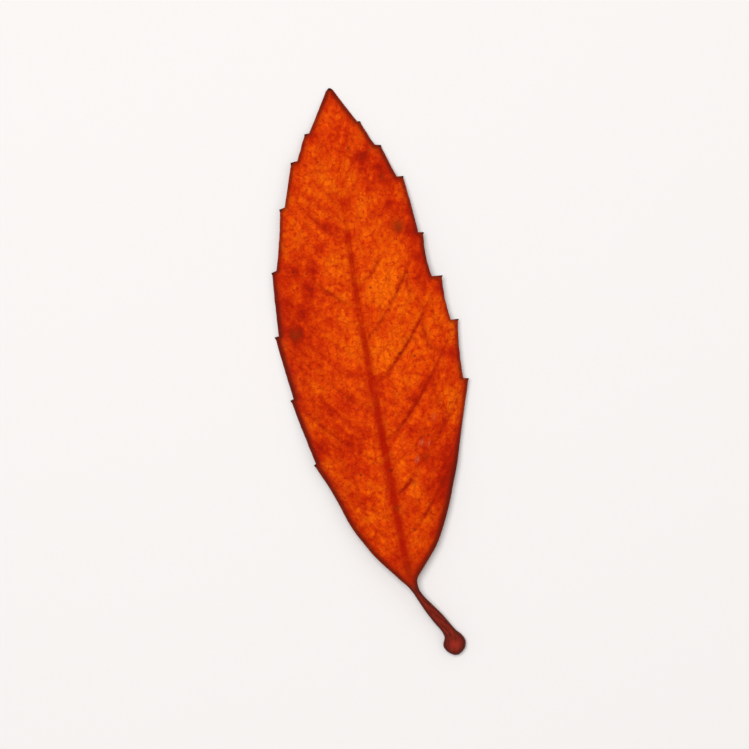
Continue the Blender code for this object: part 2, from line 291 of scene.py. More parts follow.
def midrib_reach(station):
    """Reach of the midrib, and of the stalk's middle, which carries it on."""
    bow = -MIDRIB_BOW * np.sin(math.pi * np.clip(station / BLADE_LENGTH, 0, 1))
    return bow + through(STALK_LINE, station)


def middle_slope(station):
    """How far that middle moves sideways in each millimetre."""
    return float(midrib_reach(station + 0.1) - midrib_reach(station - 0.1)) / 0.2


def stalk_half_width(station):
    """Half-width of the stalk's section."""
    return float(through([(place, wide) for place, wide, _ in STALK_SECTIONS], station))


def envelope(half, station):
    """Reach of the margin where no notch cuts it: the curve over the points of the teeth."""
    points = [(place, reach) for place, reach, _, _ in half.teeth]
    return through([*half.low_margin, *points, (BLADE_LENGTH, TIP_HALF_WIDTH)], station)


def margin_reach(half, station):
    """Reach of the toothed margin at one station, with the small spur at each tooth's point."""
    reach = float(envelope(half, station))
    stops = [*half.teeth, (BLADE_LENGTH, TIP_HALF_WIDTH, 0.0, 1.0)]
    for (low, low_reach, notch, power), (high, high_reach, _, _) in zip(stops, stops[1:]):
        if low < station <= high:
            share = (station - low) / (high - low)
            reach = low_reach + (high_reach - low_reach) * share - notch * (1 - share**power)
            wave = noise.noise(Vector((station * WAVE_RATE, half.side * WAVE_SEED, 0.0)))
            reach += WAVE * wave * math.sin(math.pi * share)
    places = [tooth[0] for tooth in half.teeth]
    for place, below in zip(places, [LOWEST_TOOTH_START, *places]):
        if below < station <= place:
            body = ((station - below) / (place - below)) ** SPUR_POWER
            reach -= SPUR_LENGTH * body * (1 - math.exp(-(((place - station) / SPUR_WIDTH) ** 2)))
    left = max(BLADE_LENGTH - station, 0.0)
    if left < TIP_ROUND:
        reach *= math.sqrt(1 - (1 - left / TIP_ROUND) ** 2)
    return max(reach - RIM_BULGE, LEAST_REACH)


def bulge(station):
    """How far the rounded side stands out beyond both faces."""
    return RIM_BULGE + (STALK_BULGE - RIM_BULGE) * roundness(station)


def foot_end(station):
    """Share of the stalk's section that is left near its rounded foot, 1 above it."""
    left = np.clip((station - STALK_SECTIONS[-1][0]) / FOOT_ROUND, 0, 1)
    return np.sqrt(1 - (1 - left) ** 2)


def neck_lean(half):
    """How far up or down the neck's side lies on one half, because the stalk leans there."""
    slope = middle_slope(NECK_STATION)
    return -half.side * slope * stalk_half_width(NECK_STATION) / math.hypot(1, slope)


def row_map(half):
    """Stations on the midrib and stations on the margin that the mesh's rows join."""
    roots, ends = zip(*half.veins)
    starts = [NECK_STATION + neck_lean(half), 0.5 * neck_lean(half)]
    return [NECK_STATION, 0.0, *roots, BLADE_LENGTH], [*starts, *ends, BLADE_LENGTH]


def row_stations():
    """Midrib stations of the blade's rows, with rows on each tooth's point and in each notch."""
    dense = np.linspace(NECK_STATION, BLADE_LENGTH - TIP_GAP, TRACK_POINTS)
    tracks = np.array([dense, *(np.interp(dense, *row_map(half)) for half in HALVES)])
    travel = np.concatenate([[0], np.cumsum(np.diff(tracks, axis=1).max(axis=0))])
    rows = np.interp(np.linspace(0, travel[-1], round(travel[-1] / ROW_STEP) + 1), travel, dense)
    marks = [BLADE_LENGTH - TIP_ROUND * share for share in TIP_ROWS]
    for half in HALVES:
        roots, ends = row_map(half)
        for place, _, _, _ in half.teeth:
            marks.extend(np.interp([place - BELOW_TOOTH, place, place + ABOVE_TOOTH], ends, roots))
    gaps = np.abs(rows[:, None] - np.array(marks)[None, :]).min(axis=1)
    gaps[[0, -1]] = 1.0  # the first and the last row stay
    return np.sort(np.concatenate([rows[gaps > LEAST_ROW_GAP], marks]))


def roundness(station):
    """1 where the section is the stalk's, 0 where it is the blade's."""
    return 1 - smoothstep(NECK_STATION, BLEND_END, station)


def stalk_columns(half, station):
    """Offsets from the middle, x and y of one row's points on one half of the stalk."""
    slope = middle_slope(station)
    ahead = math.hypot(1, slope)
    width = (stalk_half_width(station) - bulge(station)) * float(foot_end(station))
    offset = max(width, LEAST_STALK) * np.sin(math.pi / 2 * np.linspace(0, 1, COLUMNS))
    x = float(midrib_reach(station)) + half.side * offset / ahead
    return offset, x, station - half.side * offset * slope / ahead


def blade_columns(half, station):
    """Offsets from the middle, x and y of one row's points on one half of the blade."""
    middle = float(midrib_reach(station))
    end = float(np.interp(station, *row_map(half)))
    full = max(float(envelope(half, end)) - middle * half.side - RIM_BULGE, LEAST_HALF)
    cut = full - (margin_reach(half, end) - middle * half.side)
    inner = min(float(through(MIDRIB_HALF_WIDTH, station)), WIDEST_RIB * full) * np.array(RIB_SHARES)
    share = np.linspace(0, 1, OUTER_COLUMNS + 1)[1:]
    share = share + COLUMN_CROWDING * np.sin(math.pi * share) * share
    flat = np.concatenate([inner, inner[-1] + (full - inner[-1]) * share])
    oval = np.sin(math.pi / 2 * np.linspace(0, 1, COLUMNS))
    round_part = roundness(station)
    offset = round_part * full * oval + (1 - round_part) * flat
    forward = 1 + (VEIN_FORWARD - 1) * (1 - round_part)
    y = station + (end - station) * (offset / full) ** forward
    spread = min(NOTCH_SPREAD, WIDEST_SPREAD * full)
    offset = offset - cut * np.clip((offset - full + spread) / spread, 0, 1) ** SPREAD_POWER
    return offset, middle + half.side * offset, y


def stalk_heights(station, share):
    """Upper and under heights of the stalk's round section; share runs from its middle to its side."""
    height = through([(place, tall) for place, _, tall in STALK_SECTIONS], station) * foot_end(station)
    round_rise = above(STALK_SIDE, np.cos(math.pi / 2 * share))
    across = np.sin(math.pi / 2 * share)
    dent = np.clip(1 - (across / through(CHANNEL_HALF_WIDTH, station)) ** 2, 0, 1) ** CHANNEL_POWER
    middle = through(MIDRIB_HEIGHT, station)
    over = middle + height * round_rise * (1 - through(CHANNEL_DEPTH, station) * dent)
    return over, middle - height * round_rise


def leaf_plan():
    """Plan of the whole leaf, as arrays with a row for each section and a column for each point across.

    Rows run from the stalk's foot to the blade's tip, and columns from the left margin to the right.
    Gives x, y, the signed offset from the middle, the share of the way across, and the row stations.
    """
    low = STALK_SECTIONS[-1][0]
    count = round((NECK_STATION - low) / STALK_ROW_STEP)
    stalk_rows = low + (NECK_STATION - low) * np.linspace(0, 1, count + 1)[:-1] ** FOOT_CROWDING
    stations = np.concatenate([stalk_rows, row_stations()])
    share = np.linspace(0, 1, COLUMNS)
    share = np.concatenate([share[:0:-1], share])
    rows = []
    for station in stations:
        columns = stalk_columns if station < NECK_STATION else blade_columns
        left, right = (columns(half, station) for half in HALVES)
        signed = (-left[0], left[1], left[2])
        rows.append([np.concatenate([a[:0:-1], b]) for a, b in zip(signed, right)])
    offset, x, y = np.array(rows).transpose(1, 0, 2)
    share = np.broadcast_to(share, x.shape)
    return x, y, offset, share, np.repeat(stations[:, None], x.shape[1], axis=1)


def side_vein(half, root, end, share):
    """Points at the given shares of the way along a side vein, from the midrib towards the margin."""
    start_x = float(midrib_reach(root))
    end_x = half.side * (float(envelope(half, end)) - VEIN_STOP)
    x = start_x + (end_x - start_x) * share
    y = root + (end - VEIN_STOP - root) * share**VEIN_FORWARD
    return np.stack([x, y], axis=1)


def bowed(start, end, bow, count=14):
    """Points on an arc from start to end, bowed sideways by a share of its length."""
    share = np.linspace(0, 1, count)[:, None]
    ahead = end - start
    beside = np.array([-ahead[1], ahead[0]])
    return start + ahead * share + beside * bow * np.sin(math.pi * share)


def main_veins():
    """(points, half-width at the start and at the end) of side veins and of the loops between them."""
    share = np.linspace(0, 1, VEIN_POINTS)
    found = []
    for half in HALVES:
        lines = [side_vein(half, root, end, share) for root, end in half.veins]
        found += [(line, 1.0, VEIN_TAPER) for line in lines]
        for line, upper in zip(lines, lines[1:]):
            for leave, meet, bow, start, end in VEIN_LOOPS:
                found.append((bowed(line[leave], upper[meet], bow * half.side), start, end))
    return found


def fine_point(line, share):
    """The point of a line of FINE_POINTS points at a share of the way along it."""
    return line[int(np.clip(share, 0, 1) * (FINE_POINTS - 1))]


def fine_veins(draw):
    """Thin veins between the side veins: one that starts at the midrib, and a ladder of cross veins."""
    share = np.linspace(0, 1, FINE_POINTS)
    found = []
    for half in HALVES:
        for (low_root, low_end), (high_root, high_end) in zip(half.veins, half.veins[1:]):
            low = side_vein(half, low_root, low_end, share)
            high = side_vein(half, high_root, high_end, share)
            middle = side_vein(half, (low_root + high_root) / 2, (low_end + high_end) / 2, share)
            middle[:, 1] += WANDER * np.sin(np.linspace(0, WANDER_ANGLE, FINE_POINTS))
            found.append(middle[: draw.randrange(32, 50)])
            place, last = LADDER
            while place < last:
                a = fine_point(low, place)
                b = fine_point(middle, place + draw.uniform(-0.05, 0.02))
                c = fine_point(high, place + draw.uniform(-0.08, 0.0))
                found.append(bowed(a, b, draw.uniform(*BOW_RANGE)))
                found.append(bowed(b, c, draw.uniform(*BOW_RANGE)))
                place += draw.uniform(0.06, 0.105)
    return found


def sample(line, step=0.1):
    """The line's points spaced evenly, and how far along each lies, 0 to 1."""
    lengths = np.concatenate([[0], np.cumsum(np.linalg.norm(np.diff(line, axis=0), axis=1))])
    at = np.linspace(0, lengths[-1], max(2, round(lengths[-1] / step)))
    places = np.stack([np.interp(at, lengths, line[:, k]) for k in (0, 1)], axis=1)
    return places, at / max(lengths[-1], 1e-6)


def nearest(samples, points):
    """Distance from each point to the nearest sample, and that sample's number."""
    tree = kdtree.KDTree(len(samples))
    for number, (x, y) in enumerate(samples):
        tree.insert((x, y, 0.0), number)
    tree.balance()
    hits = [tree.find((x, y, 0.0)) for x, y in points]
    return np.array([hit[2] for hit in hits]), np.array([hit[1] for hit in hits])


def vein_fields(points):
    """At each point: the main veins' rib, colour line and valley, and the fine veins' rib, 0 to 1."""
    spots, sizes = [], []
    for line, start, end in main_veins():
        places, along = sample(line)
        spots.append(places)
        sizes.append(start + (end - start) * along)
    gap, hit = nearest(np.concatenate(spots), points)
    size = np.concatenate(sizes)[hit]
    rib = fading(gap, VEIN_HALF_WIDTH * above(THIN_RIB, size)) * size
    line = fading(gap, VEIN_LINE_HALF_WIDTH * above(THIN_LINE, size)) * above(THIN_STRENGTH, size)
    valley = fading(gap, VALLEY_HALF_WIDTH) * size
    fine = np.concatenate([sample(line)[0] for line in fine_veins(random.Random(11))])
    gap, _ = nearest(fine, points)
    net = fading(gap, NET_HALF_WIDTH) * (1 - rib)
    return rib, line, valley, net


def midrib_line(offset, station):
    """Strength of the midrib's dark line, 0 to 1."""
    width = through([(place, wide) for place, wide, _ in MIDRIB_LINE], station)
    strength = through([(place, strong) for place, _, strong in MIDRIB_LINE], station)
    return strength * np.exp(-(np.abs(offset / width) ** MIDRIB_LINE_POWER))


def middle_height(x, y):
    """Height of the arched blade's middle over the floor."""
    rib = midrib_reach(y)
    crown = through(MIDRIB_HEIGHT, y)
    height = np.zeros_like(x)
    for half in HALVES:
        width = envelope(half, y) - half.side * rib
        share = np.clip(half.side * (x - rib) / width, 0, 1)
        fall = (crown - through(half.rim_height, y)) * share**FALL_POWER
        swell = SWELL * np.sin(math.pi * share) * np.sin(math.pi * np.clip(y / BLADE_LENGTH, 0, 1))
        height = np.where(half.side * (x - rib) >= 0, crown - fall + swell, height)
    return height


def uneven(x, y, size, depth, seed):
    """Smooth noise, about -depth to depth, with swells of the given size."""
    places = zip(x.ravel(), y.ravel())
    swells = [noise.noise(Vector((px / size, py / size, seed))) for px, py in places]
    return (depth * np.array(swells) * NOISE_GAIN).reshape(x.shape)


def edge_distance(x, y):
    """Distance from each point to the leaf's outline, from the outermost points of every row."""
    rim = np.concatenate([np.stack([x[:, k], y[:, k]], axis=1) for k in (0, -1)])
    dense = np.concatenate([sample(rim[: len(x)])[0], sample(rim[len(x) :])[0]])
    gap, _ = nearest(dense, np.stack([x.ravel(), y.ravel()], axis=1))
    return gap.reshape(x.shape)


def blade_middle(x, y, edge, valley, blade):
    """Height midway between the blade's faces, with valleys along the veins, crinkle and curled rim."""
    inside = smoothstep(0.0, QUIET_RIM, edge) * blade
    middle = middle_height(x, y) - VALLEY_DEPTH * valley * inside
    middle += uneven(x, y, CRINKLE_SIZE, CRINKLE, seed=3.0) * above(QUIET_CRINKLE, inside)
    middle += uneven(x, y, PUCKER_SIZE, PUCKER, seed=9.0)
    return middle - RIM_CURL * fading(edge, RIM_CURL_WIDTH)


def leaf_surfaces():
    """Plan, heights of both faces, and the values that the material reads."""
    x, y, offset, share, stations = leaf_plan()
    points = np.stack([x.ravel(), y.ravel()], axis=1)
    rib, line, valley, net = (field.reshape(x.shape) for field in vein_fields(points))
    edge = edge_distance(x, y)
    stalk = roundness(stations)
    blade = 1 - stalk
    middle = blade_middle(x, y, edge, valley, blade)
    across = np.clip(np.abs(offset) / through(MIDRIB_HALF_WIDTH, y), 0, MIDRIB_FAR)
    keel = np.sqrt(1 - np.clip(across, 0, 1) ** 2)
    outside = smoothstep(*MIDRIB_SIDE, across)
    fade = smoothstep(0.0, CREASE_FADE, edge)
    groove = MIDRIB_GROOVE * fading(across, GROOVE_HALF_WIDTH) * smoothstep(*GROOVE_FADE, y)
    over = middle + SHEET_THICKNESS / 2 - groove
    over -= outside * fade * np.maximum(VEIN_CREASE * rib, NET_CREASE * net)
    under = middle - SHEET_THICKNESS / 2 - through(MIDRIB_DEPTH, y) * keel
    under -= outside * fade * np.maximum(VEIN_DEPTH * rib, NET_DEPTH * net)
    stalk_over, stalk_under = stalk_heights(stations, share)
    over = stalk * stalk_over + blade * over
    under = np.maximum(stalk * stalk_under + blade * under, 0.0)
    over = np.maximum(over, under + LEAST_THICKNESS)
    clear = np.clip(FAINT_VEIN + patches(x, y, CLEAR_VEINS), 0, CLEAREST_VEIN)
    values = {
        "vein": line * outside * blade * clear,
        "net": net * outside * blade,
        "midrib": midrib_line(offset, y),
        "edge": edge,
        "rim": np.where(offset < 0, through(LEFT_RIM, y), through(RIGHT_RIM, y)),
        "station": stations,
        "across": offset,
        "patch": patches(x, y, PATCHES),
        # spot: brown spots, and where negative, pale specks of painted highlight
        "spot": patches(x, y, SPOTS),
        "tooth": tooth_tips(x, y),
        "foot": blob(x, y, FOOT_MIDDLE, FOOT_DISH),
    }
    return x, y, over, under, values


# Patches of colour: (x, y, radius, strength). Positive is deeper red, negative is brighter orange.
PATCHES = [
    (3.3, 70, 1.5, 1.6), (5.9, 68, 1.3, 1.2), (6.4, 65.3, 1.5, 0.9), (6.2, 61.8, 1.5, 1.6),
    (7.2, 57.3, 1.0, 0.9), (8.3, 66, 2.2, 0.6), (8.8, 60, 1.8, 0.7), (9.2, 56.2, 1.5, 1.6),
    (9.6, 52.5, 1.4, 1.1), (4, 28.4, 0.8, 0.7), (6.8, 31.6, 0.9, 0.6), (-2.8, 4.8, 1.6, 0.8),
    (9.5, 49.3, 1.4, 1.3), (12.2, 47, 1.1, 1.3), (12.9, 36, 1.5, 1.5), (11, 36.8, 1.4, 0.6),
    (9.4, 21, 1.9, 1.2), (8.4, 17.2, 1.8, 2.2), (6.2, 14.4, 1.8, 1.4), (5, 21, 1.6, 0.9),
    (7.4, 12.8, 1.6, 0.9), (8.2, 24.8, 1.8, 1.1), (3.6, 25, 1.6, 1.3), (8.2, 31.8, 1.3, 0.8),
    (5.1, 30, 0.9, 1.7), (-11, 53.2, 1.7, 0.8), (-7.6, 53.2, 1.1, 1.3), (-9.2, 50, 1.5, 1.1),
    (-10.4, 46.7, 1.7, 1.2), (-12, 43.4, 1.9, 1.6), (-13.3, 48.5, 2.0, 1.2), (-12.8, 39.5, 1.8, 0.8),
    (-10, 41.5, 2.0, 0.5), (-12.5, 33, 1.8, 0.8), (-9.3, 30.3, 1.8, 1.2), (-6, 31.5, 1.6, 1.1),
    (-5.8, 24, 1.7, 1.5), (-11.4, 24.5, 1.6, 1.6), (-5, 20.3, 1.8, 1.3), (-3.3, 25.5, 1.1, 1.3),
    (-3.6, 34.8, 1.8, 0.6), (-5.5, 14.5, 1.3, 0.6), (-4.4, 59.9, 0.8, 1.3), (-7.2, 62, 1.8, 0.5),
    (-6.2, 70.3, 1.8, 0.3), (-3.5, 74.6, 1.0, 0.7), (0.6, 75, 2.0, 0.6), (0.4, 3, 1.8, 0.6),
    (-13.2, 52, 1.4, 1.0), (-7.2, 43.8, 1.7, 0.9), (-7.2, 27.6, 1.3, 0.7), (-2.9, 27.8, 1.3, 0.8),
    (3.2, 64.7, 1.4, 1.0), (4.7, 16.6, 1.2, 0.9), (2.1, 4.9, 1.3, 0.8), (12, 32.5, 1.3, 0.6),
    (-1.5, 67.4, 1.4, 0.7), (3.8, 35.3, 1.1, 0.6), (-10.2, 62.6, 1.3, 0.6), (-5.7, 56.5, 0.9, 1.1),
    (5.3, 39.6, 1.3, -1.0), (8.4, 61.8, 1.1, -0.8), (-2.8, 76.2, 1.1, -0.7), (-3, 14.2, 1.3, -0.7),
    (10, 45, 1.2, -0.7), (9, 36, 1.2, -0.6), (2.4, 30.8, 1.1, -0.5), (4.5, 7.7, 0.9, 0.8),
    (3.6, 48.6, 3.0, -1.4), (6.2, 54, 2.2, -0.6), (2.6, 63, 2.0, -0.8), (-4, 66.5, 2.8, -0.6),
    (-4, 53.3, 2.4, -0.8), (-10.6, 57.6, 1.8, -0.8), (1.6, 38.8, 2.3, -1.1), (-3.6, 39.6, 2.2, -0.9),
    (11.5, 43, 1.3, -0.9), (3.8, 33, 1.6, -0.9), (3, 14.5, 2.0, -0.5), (-5.3, 12, 1.2, -0.8),
    (11, 28.5, 1.8, -0.8), (4.4, 10.4, 1.2, -0.7), (2.6, 13.2, 1.0, -0.4), (-6.4, 52.1, 1.2, 0.6),
    (-8.4, 51.6, 0.8, 0.7), (-9.2, 48.2, 0.8, 0.8), (12.1, 39.6, 1.2, -0.55), (-11.2, 30.1, 1.4, -0.45),
    (10, 25.6, 1.3, -0.45), (7.7, 53, 1.3, -0.45), (8.3, 31.2, 1.0, -0.4), (-3.4, 74.1, 1.1, -0.4),
]
# Small spots, in the same form; positive is brown, negative is a pale speck of painted highlight
SPOTS = [
    (7.2, 57.8, 1.0, 0.62), (6.1, 66.2, 0.5, 0.35), (4.7, 70.8, 0.4, 0.35), (-12.2, 43.2, 1.0, 0.4),
    (-0.4, 1.9, 2.2, 0.32), (4.9, 39.5, 0.35, 0.35), (-0.75, 12.9, 0.5, 0.4), (2.6, 16.5, 0.35, 0.4),
    (5.3, 20.4, 0.5, 0.4), (3.8, 20.1, 0.28, -0.4), (5.0, 22.7, 0.3, -0.32), (6.1, 22.3, 0.22, -0.25),
    (7.6, 26.4, 0.25, -0.22),
]
# Where the side veins show most clearly, in the same form
CLEAR_VEINS = [
    (4.5, 29, 5, 1.3), (5.5, 39.5, 4.5, 1.7), (6.2, 48.8, 2.4, 1.3), (2.2, 52, 2.0, 0.5),
    (1.5, 16, 2.0, 1.2), (3.8, 11.8, 2.4, 1.0), (-4.8, 60.3, 3.0, 0.8), (-5, 49, 2.4, 0.8),
    (-9, 27, 3.4, 0.7), (-4, 35, 2.0, 0.6),
]


def patches(x, y, spots):
    """Sum of the marks in one of the lists above, at each place."""
    total = np.zeros_like(x)
    for px, py, radius, strength in spots:
        total += strength * blob(x, y, (px, py), radius)
    return total


def tooth_tips(x, y):
    """1 at the points of the teeth and at the blade's tip, falling to 0 close by."""
    near = np.zeros_like(x)
    spots = [(half.side * reach, place) for half in HALVES for place, reach, _, _ in half.teeth]
    for spot in [*spots, (0.0, BLADE_LENGTH)]:
        near = np.maximum(near, blob(x, y, spot, TIP_MARK))
    return near


def side_points(x, y, over, under, stations, rim, inner):
    """Points of one rounded side, midway between the faces' rims and a little farther out."""
    step = np.array([x[:, rim] - x[:, inner], y[:, rim] - y[:, inner]])
    out = bulge(stations[:, rim]) * (step[0] / np.maximum(np.linalg.norm(step, axis=0), 1e-6))
    return np.column_stack([x[:, rim] + out, y[:, rim], (over[:, rim] + under[:, rim]) / 2])


def leaf_faces(rows, columns):
    """Faces of the closed mesh, whose points are the upper face, the under face and the two sides."""
    count = rows * columns
    index = np.arange(count).reshape(rows, columns)
    corners = [index[:-1, :-1], index[:-1, 1:], index[1:, 1:], index[1:, :-1]]
    quads = np.stack(corners, axis=2).reshape(-1, 4)
    faces = [*quads.tolist(), *(quads[:, ::-1] + count).tolist()]
    left = 2 * count + np.arange(rows)
    right = left + rows
    for k in range(rows - 1):
        near, far = index[k, 0], index[k + 1, 0]
        faces.append([near, far, left[k + 1], left[k]])
        faces.append([left[k], left[k + 1], far + count, near + count])
        near, far = index[k, -1], index[k + 1, -1]
        faces.append([far, near, right[k], right[k + 1]])
        faces.append([right[k + 1], right[k], near + count, far + count])
    for k, turn in ((0, 1), (rows - 1, -1)):
        for j in range(columns - 1):
            end = [index[k, j], index[k, j] + count, index[k, j + 1] + count, index[k, j + 1]]
            faces.append(end[::turn])
        faces.append([index[k, 0], left[k], index[k, 0] + count][::turn])
        faces.append([index[k, -1], index[k, -1] + count, right[k]][::turn])
    return [list(map(int, face)) for face in faces]


def shift_to_frame():
    """From the layout to the frame: the solid's box ends at the widest tooth, the tip and the floor."""
    low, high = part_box("leaf")
    widest = max(tooth[1] for tooth in RIGHT.teeth)
    return np.array([high[0] / MM - widest, high[1] / MM - BLADE_LENGTH, low[2] / MM])


def store(mesh, name, parts):
    """Keep one value for every point of the mesh, for the material to read by its name."""
    attribute = mesh.attributes.new(name, "FLOAT", "POINT")
    attribute.data.foreach_set("value", np.concatenate(parts).astype(np.float32))


def build_leaf():
    """The closed mesh: upper face, under face, rounded margin and both ends."""
    x, y, over, under, values = leaf_surfaces()
    rows, columns = x.shape
    top, bottom = (np.stack([x, y, height], axis=2).reshape(-1, 3) for height in (over, under))
    sides = [side_points(x, y, over, under, values["station"], *pair) for pair in ((0, 1), (-1, -2))]
    points = (np.concatenate([top, bottom, *sides]) + shift_to_frame()) * MM
    mesh = bpy.data.meshes.new("grown_leaf")
    mesh.from_pydata(points.tolist(), [], leaf_faces(rows, columns))
    mesh.shade_smooth()
    for name, grid in values.items():
        store(mesh, name, [grid.ravel(), grid.ravel(), grid[:, 0], grid[:, -1]])
    count = rows * columns
    store(mesh, "below", [np.zeros(count), np.ones(count), np.full(2 * rows, SIDE_AS_UNDER)])
    leaf = bpy.data.objects.new("grown_leaf", mesh)
    bpy.context.scene.collection.objects.link(leaf)
    return leaf


class Nodes:
    """Short calls that build a material's nodes."""

    def __init__(self, name):
        self.material = bpy.data.materials.new(name)
        self.material.use_nodes = True
        self.tree = self.material.node_tree
        self.shader = self.tree.nodes["Principled BSDF"]

    def feed(self, socket, value):
        """Link a node's output to a socket, or set the socket to a plain value."""
        if isinstance(value, bpy.types.NodeSocket):
            self.tree.links.new(value, socket)
        else:
            socket.default_value = value

    def add(self, kind, *values, out=0, **settings):
        node = self.tree.nodes.new(kind)
        for key, value in settings.items():
            setattr(node, key, value)
        for socket, value in zip((s for s in node.inputs if s.enabled), values):
            self.feed(socket, value)
        return node.outputs[out]

    def math(self, operation, *values, clamp=False):
        return self.add("ShaderNodeMath", *values, operation=operation, use_clamp=clamp)

    def vector(self, operation, *values):
        return self.add("ShaderNodeVectorMath", *values, operation=operation)

    def value(self, name):
        """A value that the mesh keeps on its points."""
        return self.add("ShaderNodeAttribute", out=2, attribute_name=name)

    def step(self, value, low, high):
        """0 at low, 1 at high, with a smooth rise between them. Low may be the larger."""
        node = self.tree.nodes.new("ShaderNodeMapRange")
        node.interpolation_type = "SMOOTHSTEP"
        for number, given in enumerate((value, low, high, 0.0, 1.0)):
            self.feed(node.inputs[number], given)
        return node.outputs[0]

    def noise(self, vector, scale, detail=2.0, rough=0.5, out=0):
        node = self.tree.nodes.new("ShaderNodeTexNoise")
        self.feed(node.inputs["Vector"], vector)
        node.inputs["Scale"].default_value = scale
        node.inputs["Detail"].default_value = detail
        node.inputs["Roughness"].default_value = rough
        return node.outputs[out]

    def cells(self, vector, scale, feature="F1", out="Distance"):
        node = self.tree.nodes.new("ShaderNodeTexVoronoi")
        node.feature = feature
        self.feed(node.inputs["Vector"], vector)
        node.inputs["Scale"].default_value = scale
        return node.outputs[out]

    def mix(self, factor, first, second):
        node = self.tree.nodes.new("ShaderNodeMix")
        node.data_type = "RGBA"
        self.feed(node.inputs[0], factor)
        self.feed(node.inputs[6], first)
        self.feed(node.inputs[7], second)
        return node.outputs[2]

    def tint(self, colour, field, share, tint):
        """The colour under a tint, laid on as strongly as the field times the share."""
        return self.mix(self.math("MULTIPLY", field, share), colour, tint)

    def ramp(self, factor, stops):
        node = self.tree.nodes.new("ShaderNodeValToRGB")
        ramp = node.color_ramp
        while len(ramp.elements) < len(stops):
            ramp.elements.new(0.5)
        for element, (place, colour) in zip(ramp.elements, stops):
            element.position = place
            element.color = colour
        self.feed(node.inputs[0], factor)
        return node.outputs[0]


# Colours, linear
BRIGHT_ORANGE = (0.87, 0.128, 0.001, 1)
ORANGE_RED = (0.725, 0.058, 0.0005, 1)
RED = (0.565, 0.024, 0.0005, 1)
DEEP_RED = (0.37, 0.007, 0.0005, 1)
RED_BROWN = (0.22, 0.009, 0.002, 1)
VEIN_RED = (0.33, 0.008, 0.0005, 1)
MARGIN_MAROON = (0.11, 0.008, 0.003, 1)
TIP_BROWN = (0.02, 0.005, 0.003, 1)
MIDRIB_RED = (0.38, 0.006, 0.0005, 1)
FLECK_RED = (0.43, 0.012, 0.001, 1)
SPOT_BROWN = (0.20, 0.030, 0.002, 1)
# Pale specks of painted highlight, laid into the colour
PAINTED_HIGHLIGHT_SPECK = (0.75, 0.33, 0.14, 1)
STALK_MAROON = (0.235, 0.018, 0.011, 1)
STALK_DARK = (0.085, 0.010, 0.006, 1)
FOOT_RED = (0.30, 0.022, 0.014, 1)
UNDER_TAN = (0.52, 0.15, 0.045, 1)
UNDER_RIB = (0.46, 0.17, 0.07, 1)
SPECK_BROWN = (0.10, 0.012, 0.004, 1)
SHEEN = (1.0, 0.4, 0.15, 1)

# The blade's upper side: (tone, colour), from the brightest to the darkest
TONES = [
    (0.10, BRIGHT_ORANGE), (0.38, ORANGE_RED), (0.60, RED), (0.82, DEEP_RED), (1.0, RED_BROWN),
]
MEAN_TONE = 0.39
PATCH_WEIGHT = 0.27
SPECULAR = 0.1
RELIEF_STRENGTH = 0.55
RELIEF_HEIGHT = 0.00016  # metres
STALK_STRETCH = 0.22  # the stalk's stripes are drawn out along it
BARK_START = (0.7, -0.9)  # stations between which the blade's colour turns into the stalk's
FOOT_RING = (-8.8, -9.9)  # and between which the foot darkens, apart from its middle

# What several parts of the leaf's material share: places in millimetres, plain and distorted, noises
# of falling size, and two nets of tiny veins
Skin = namedtuple("Skin", "flat warped mottle flecks grain net small_net")


def shared_skin(n):
    """The nodes that make what the parts share."""
    place = n.add("ShaderNodeTexCoord", out=3)
    in_mm = n.vector("MULTIPLY", place, (1 / MM,) * 3)
    flat = n.vector("MULTIPLY", in_mm, (1.0, 1.0, 0.0))
    wobble = n.vector("SUBTRACT", n.noise(flat, scale=0.5, detail=2.0, out=1), (0.5, 0.5, 0.5))
    wobble = n.vector("MULTIPLY", wobble, (1.4, 1.4, 0.0))
    warped = n.vector("ADD", flat, wobble)
    gently = n.vector("ADD", flat, n.vector("MULTIPLY", wobble, (0.3, 0.3, 0.0)))
    mottle = n.noise(warped, scale=0.55, detail=4.0, rough=0.6)
    flecks = n.noise(warped, scale=1.25, detail=3.0, rough=0.62)
    grain = n.noise(flat, scale=3.4, detail=3.0, rough=0.6)
    net = n.step(n.cells(gently, scale=0.85, feature="DISTANCE_TO_EDGE"), 0.12, 0.0)
    small_net = n.step(n.cells(gently, scale=2.1, feature="DISTANCE_TO_EDGE"), 0.14, 0.0)
    return Skin(flat, warped, mottle, flecks, grain, net, small_net)


def upper_colour(n, skin):
    """The blade's orange and red mottling, with the patches that the mesh carries."""
    blotches = n.noise(skin.warped, scale=0.17, detail=3.0, rough=0.55)
    # Rows of the mesh follow the side veins, so these coordinates stretch the mottling along them
    squeezed = n.math("MULTIPLY", n.value("across"), 0.35)
    along = n.add("ShaderNodeCombineXYZ", squeezed, n.value("station"), 0.0)
    streaks = n.noise(along, scale=0.55, detail=3.0, rough=0.55)
    weights = (
        (blotches, 0.8), (skin.mottle, 0.8), (streaks, 0.6), (skin.flecks, 0.55), (skin.grain, 0.25),
    )
    tone = n.math("MULTIPLY", n.value("patch"), PATCH_WEIGHT)
    for field, weight in weights:
        tone = n.math("MULTIPLY_ADD", n.math("SUBTRACT", field, 0.5), weight, tone)
    colour = n.ramp(n.math("ADD", tone, MEAN_TONE), TONES)
    return n.tint(colour, n.step(skin.flecks, 0.54, 0.66), 0.6, FLECK_RED)


